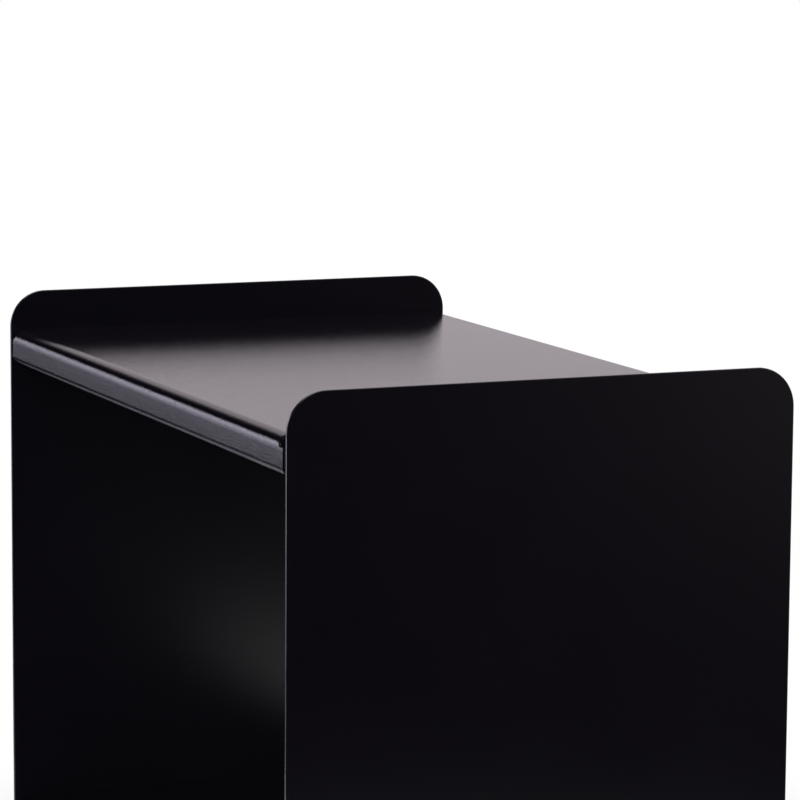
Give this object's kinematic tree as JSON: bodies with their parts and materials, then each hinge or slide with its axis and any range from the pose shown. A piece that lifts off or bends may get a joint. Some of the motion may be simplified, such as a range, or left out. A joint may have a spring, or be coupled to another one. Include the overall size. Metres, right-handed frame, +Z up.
{
  "type": "log holder",
  "caption": "Free-standing log holder: two upright plates with rounded top corners carry a folded top shelf and a log shelf, open front and rear, on levelling feet.",
  "frame": {"origin": "on the floor, below the middle of the rack", "axes": "+X from the left side plate to the right one, +Y from the front opening to the rear one, +Z up"},
  "size_m": [0.65, 0.4, 0.5],
  "materials": {
    "powder_coated_plate": "satin black powder coat",
    "powder_coated_sheet": "satin black powder coat",
    "zinc_plated_steel": "bright zinc plate",
    "foot_nylon": "moulded black nylon",
    "foot_rubber": "matt black rubber"
  },
  "bodies": {
    "rack": {"right_side_panel": "powder_coated_plate", "left_side_panel": "powder_coated_plate", "top_shelf": "powder_coated_sheet", "top_shelf_stiffener": "powder_coated_sheet", "top_right_weld_studs": "zinc_plated_steel", "top_right_washers": "zinc_plated_steel", "top_right_nuts": "zinc_plated_steel", "top_left_weld_studs": "zinc_plated_steel", "top_left_washers": "zinc_plated_steel", "top_left_nuts": "zinc_plated_steel", "bottom_shelf": "powder_coated_sheet", "bottom_shelf_stiffener": "powder_coated_sheet", "bottom_right_weld_studs": "zinc_plated_steel", "bottom_right_washers": "zinc_plated_steel", "bottom_right_nuts": "zinc_plated_steel", "bottom_left_weld_studs": "zinc_plated_steel", "bottom_left_washers": "zinc_plated_steel", "bottom_left_nuts": "zinc_plated_steel", "right_weld_nuts": "powder_coated_plate", "left_weld_nuts": "powder_coated_plate"},
    "front_right_foot": {"front_right_foot_base": "foot_nylon", "front_right_foot_sole": "foot_rubber"},
    "front_right_screw": {"front_right_foot_stem": "zinc_plated_steel"},
    "front_left_foot": {"front_left_foot_base": "foot_nylon", "front_left_foot_sole": "foot_rubber"},
    "front_left_screw": {"front_left_foot_stem": "zinc_plated_steel"},
    "rear_right_foot": {"rear_right_foot_base": "foot_nylon", "rear_right_foot_sole": "foot_rubber"},
    "rear_right_screw": {"rear_right_foot_stem": "zinc_plated_steel"},
    "rear_left_foot": {"rear_left_foot_base": "foot_nylon", "rear_left_foot_sole": "foot_rubber"},
    "rear_left_screw": {"rear_left_foot_stem": "zinc_plated_steel"}
  },
  "joints": [
    {"name": "front_right_foot_height", "type": "slide", "parent": "rack", "child": "front_right_foot", "axis": [0, 0, 1], "range_m": [0, 0.008]},
    {"name": "front_right_screw_turn", "type": "hinge", "parent": "front_right_foot", "child": "front_right_screw", "pos_m": [0.303, -0.15, 0.02], "axis": [0, 0, 1], "continuous": true},
    {"name": "front_left_foot_height", "type": "slide", "parent": "rack", "child": "front_left_foot", "axis": [0, 0, 1], "range_m": [0, 0.008]},
    {"name": "front_left_screw_turn", "type": "hinge", "parent": "front_left_foot", "child": "front_left_screw", "pos_m": [-0.303, -0.15, 0.02], "axis": [0, 0, 1], "continuous": true},
    {"name": "rear_right_foot_height", "type": "slide", "parent": "rack", "child": "rear_right_foot", "axis": [0, 0, 1], "range_m": [0, 0.008]},
    {"name": "rear_right_screw_turn", "type": "hinge", "parent": "rear_right_foot", "child": "rear_right_screw", "pos_m": [0.303, 0.15, 0.02], "axis": [0, 0, 1], "continuous": true},
    {"name": "rear_left_foot_height", "type": "slide", "parent": "rack", "child": "rear_left_foot", "axis": [0, 0, 1], "range_m": [0, 0.008]},
    {"name": "rear_left_screw_turn", "type": "hinge", "parent": "rear_left_foot", "child": "rear_left_screw", "pos_m": [-0.303, 0.15, 0.02], "axis": [0, 0, 1], "continuous": true}
  ],
  "couplings": [
    {"joint": "front_right_screw_turn", "follows": "front_right_foot_height", "rad_per_m": 5026.5},
    {"joint": "front_left_screw_turn", "follows": "front_left_foot_height", "rad_per_m": 5026.5},
    {"joint": "rear_right_screw_turn", "follows": "rear_right_foot_height", "rad_per_m": 5026.5},
    {"joint": "rear_left_screw_turn", "follows": "rear_left_foot_height", "rad_per_m": 5026.5}
  ]
}
